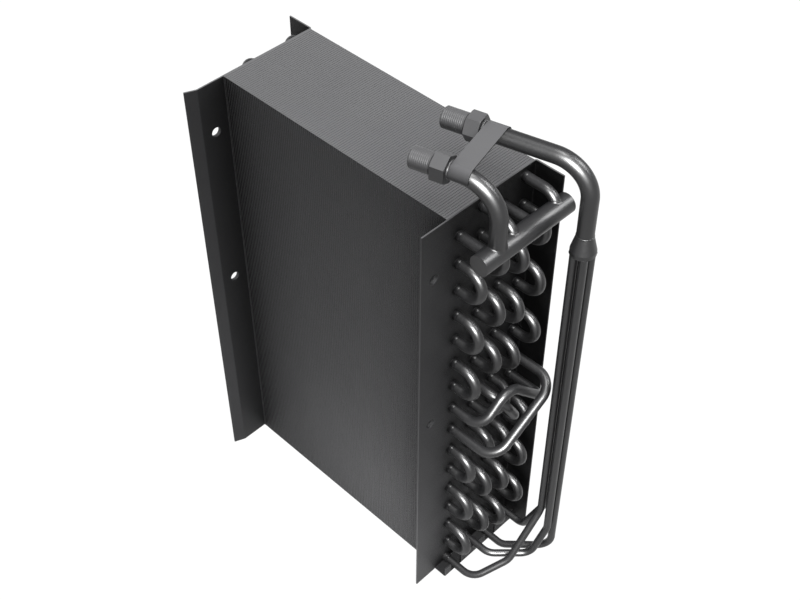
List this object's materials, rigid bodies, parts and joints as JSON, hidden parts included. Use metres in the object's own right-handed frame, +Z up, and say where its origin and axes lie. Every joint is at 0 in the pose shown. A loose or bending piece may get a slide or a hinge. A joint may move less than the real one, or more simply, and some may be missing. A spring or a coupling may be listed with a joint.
{
  "type": "evaporator coil",
  "caption": "Finned tube evaporator coil with folded end plates, return bends, suction header, distributor with feeder tubes and two threaded pipe fittings.",
  "frame": {"origin": "under the middle of the fin block, on the face the coil stands on", "axes": "+X along the tubes towards the connection end, +Y from the front face to the back, +Z up"},
  "size_m": [0.3226, 0.1239, 0.4532],
  "materials": {
    "coated_fins": "epoxy-coated aluminium fins, charcoal, satin",
    "coated_sheet_steel": "epoxy-coated sheet steel, charcoal, satin",
    "coated_brass": "epoxy-coated turned brass, charcoal, semi-gloss",
    "coated_copper_tube": "epoxy-coated copper tube, charcoal, gloss"
  },
  "bodies": {
    "root": {"arched_crossover": "coated_copper_tube", "distributor": "coated_brass", "feeder_tube_1": "coated_copper_tube", "feeder_tube_2": "coated_copper_tube", "feeder_tube_3": "coated_copper_tube", "feeder_tube_4": "coated_copper_tube", "fin_pack": "coated_fins", "front_header_cap": "coated_copper_tube", "hairpins_row_1": "coated_copper_tube", "hairpins_row_2": "coated_copper_tube", "hairpins_row_3": "coated_copper_tube", "hairpins_row_4": "coated_copper_tube", "header_stub_row_1": "coated_copper_tube", "header_stub_row_2": "coated_copper_tube", "header_stub_row_3": "coated_copper_tube", "header_stub_row_4": "coated_copper_tube", "left_end_plate": "coated_sheet_steel", "liquid_fitting": "coated_brass", "liquid_line": "coated_copper_tube", "loop_crossover": "coated_copper_tube", "lower_return_bends_row_1": "coated_copper_tube", "lower_return_bends_row_2": "coated_copper_tube", "lower_return_bends_row_3": "coated_copper_tube", "lower_return_bends_row_4": "coated_copper_tube", "pipe_strap": "coated_sheet_steel", "rear_header_cap": "coated_copper_tube", "right_end_plate": "coated_sheet_steel", "slanted_crossover": "coated_copper_tube", "slanted_return_bend": "coated_copper_tube", "suction_fitting": "coated_brass", "suction_header": "coated_copper_tube", "suction_riser": "coated_copper_tube", "upper_return_bends_row_1": "coated_copper_tube", "upper_return_bends_row_2": "coated_copper_tube", "upper_return_bends_row_3": "coated_copper_tube", "upper_return_bends_row_4": "coated_copper_tube"}
  },
  "joints": []
}
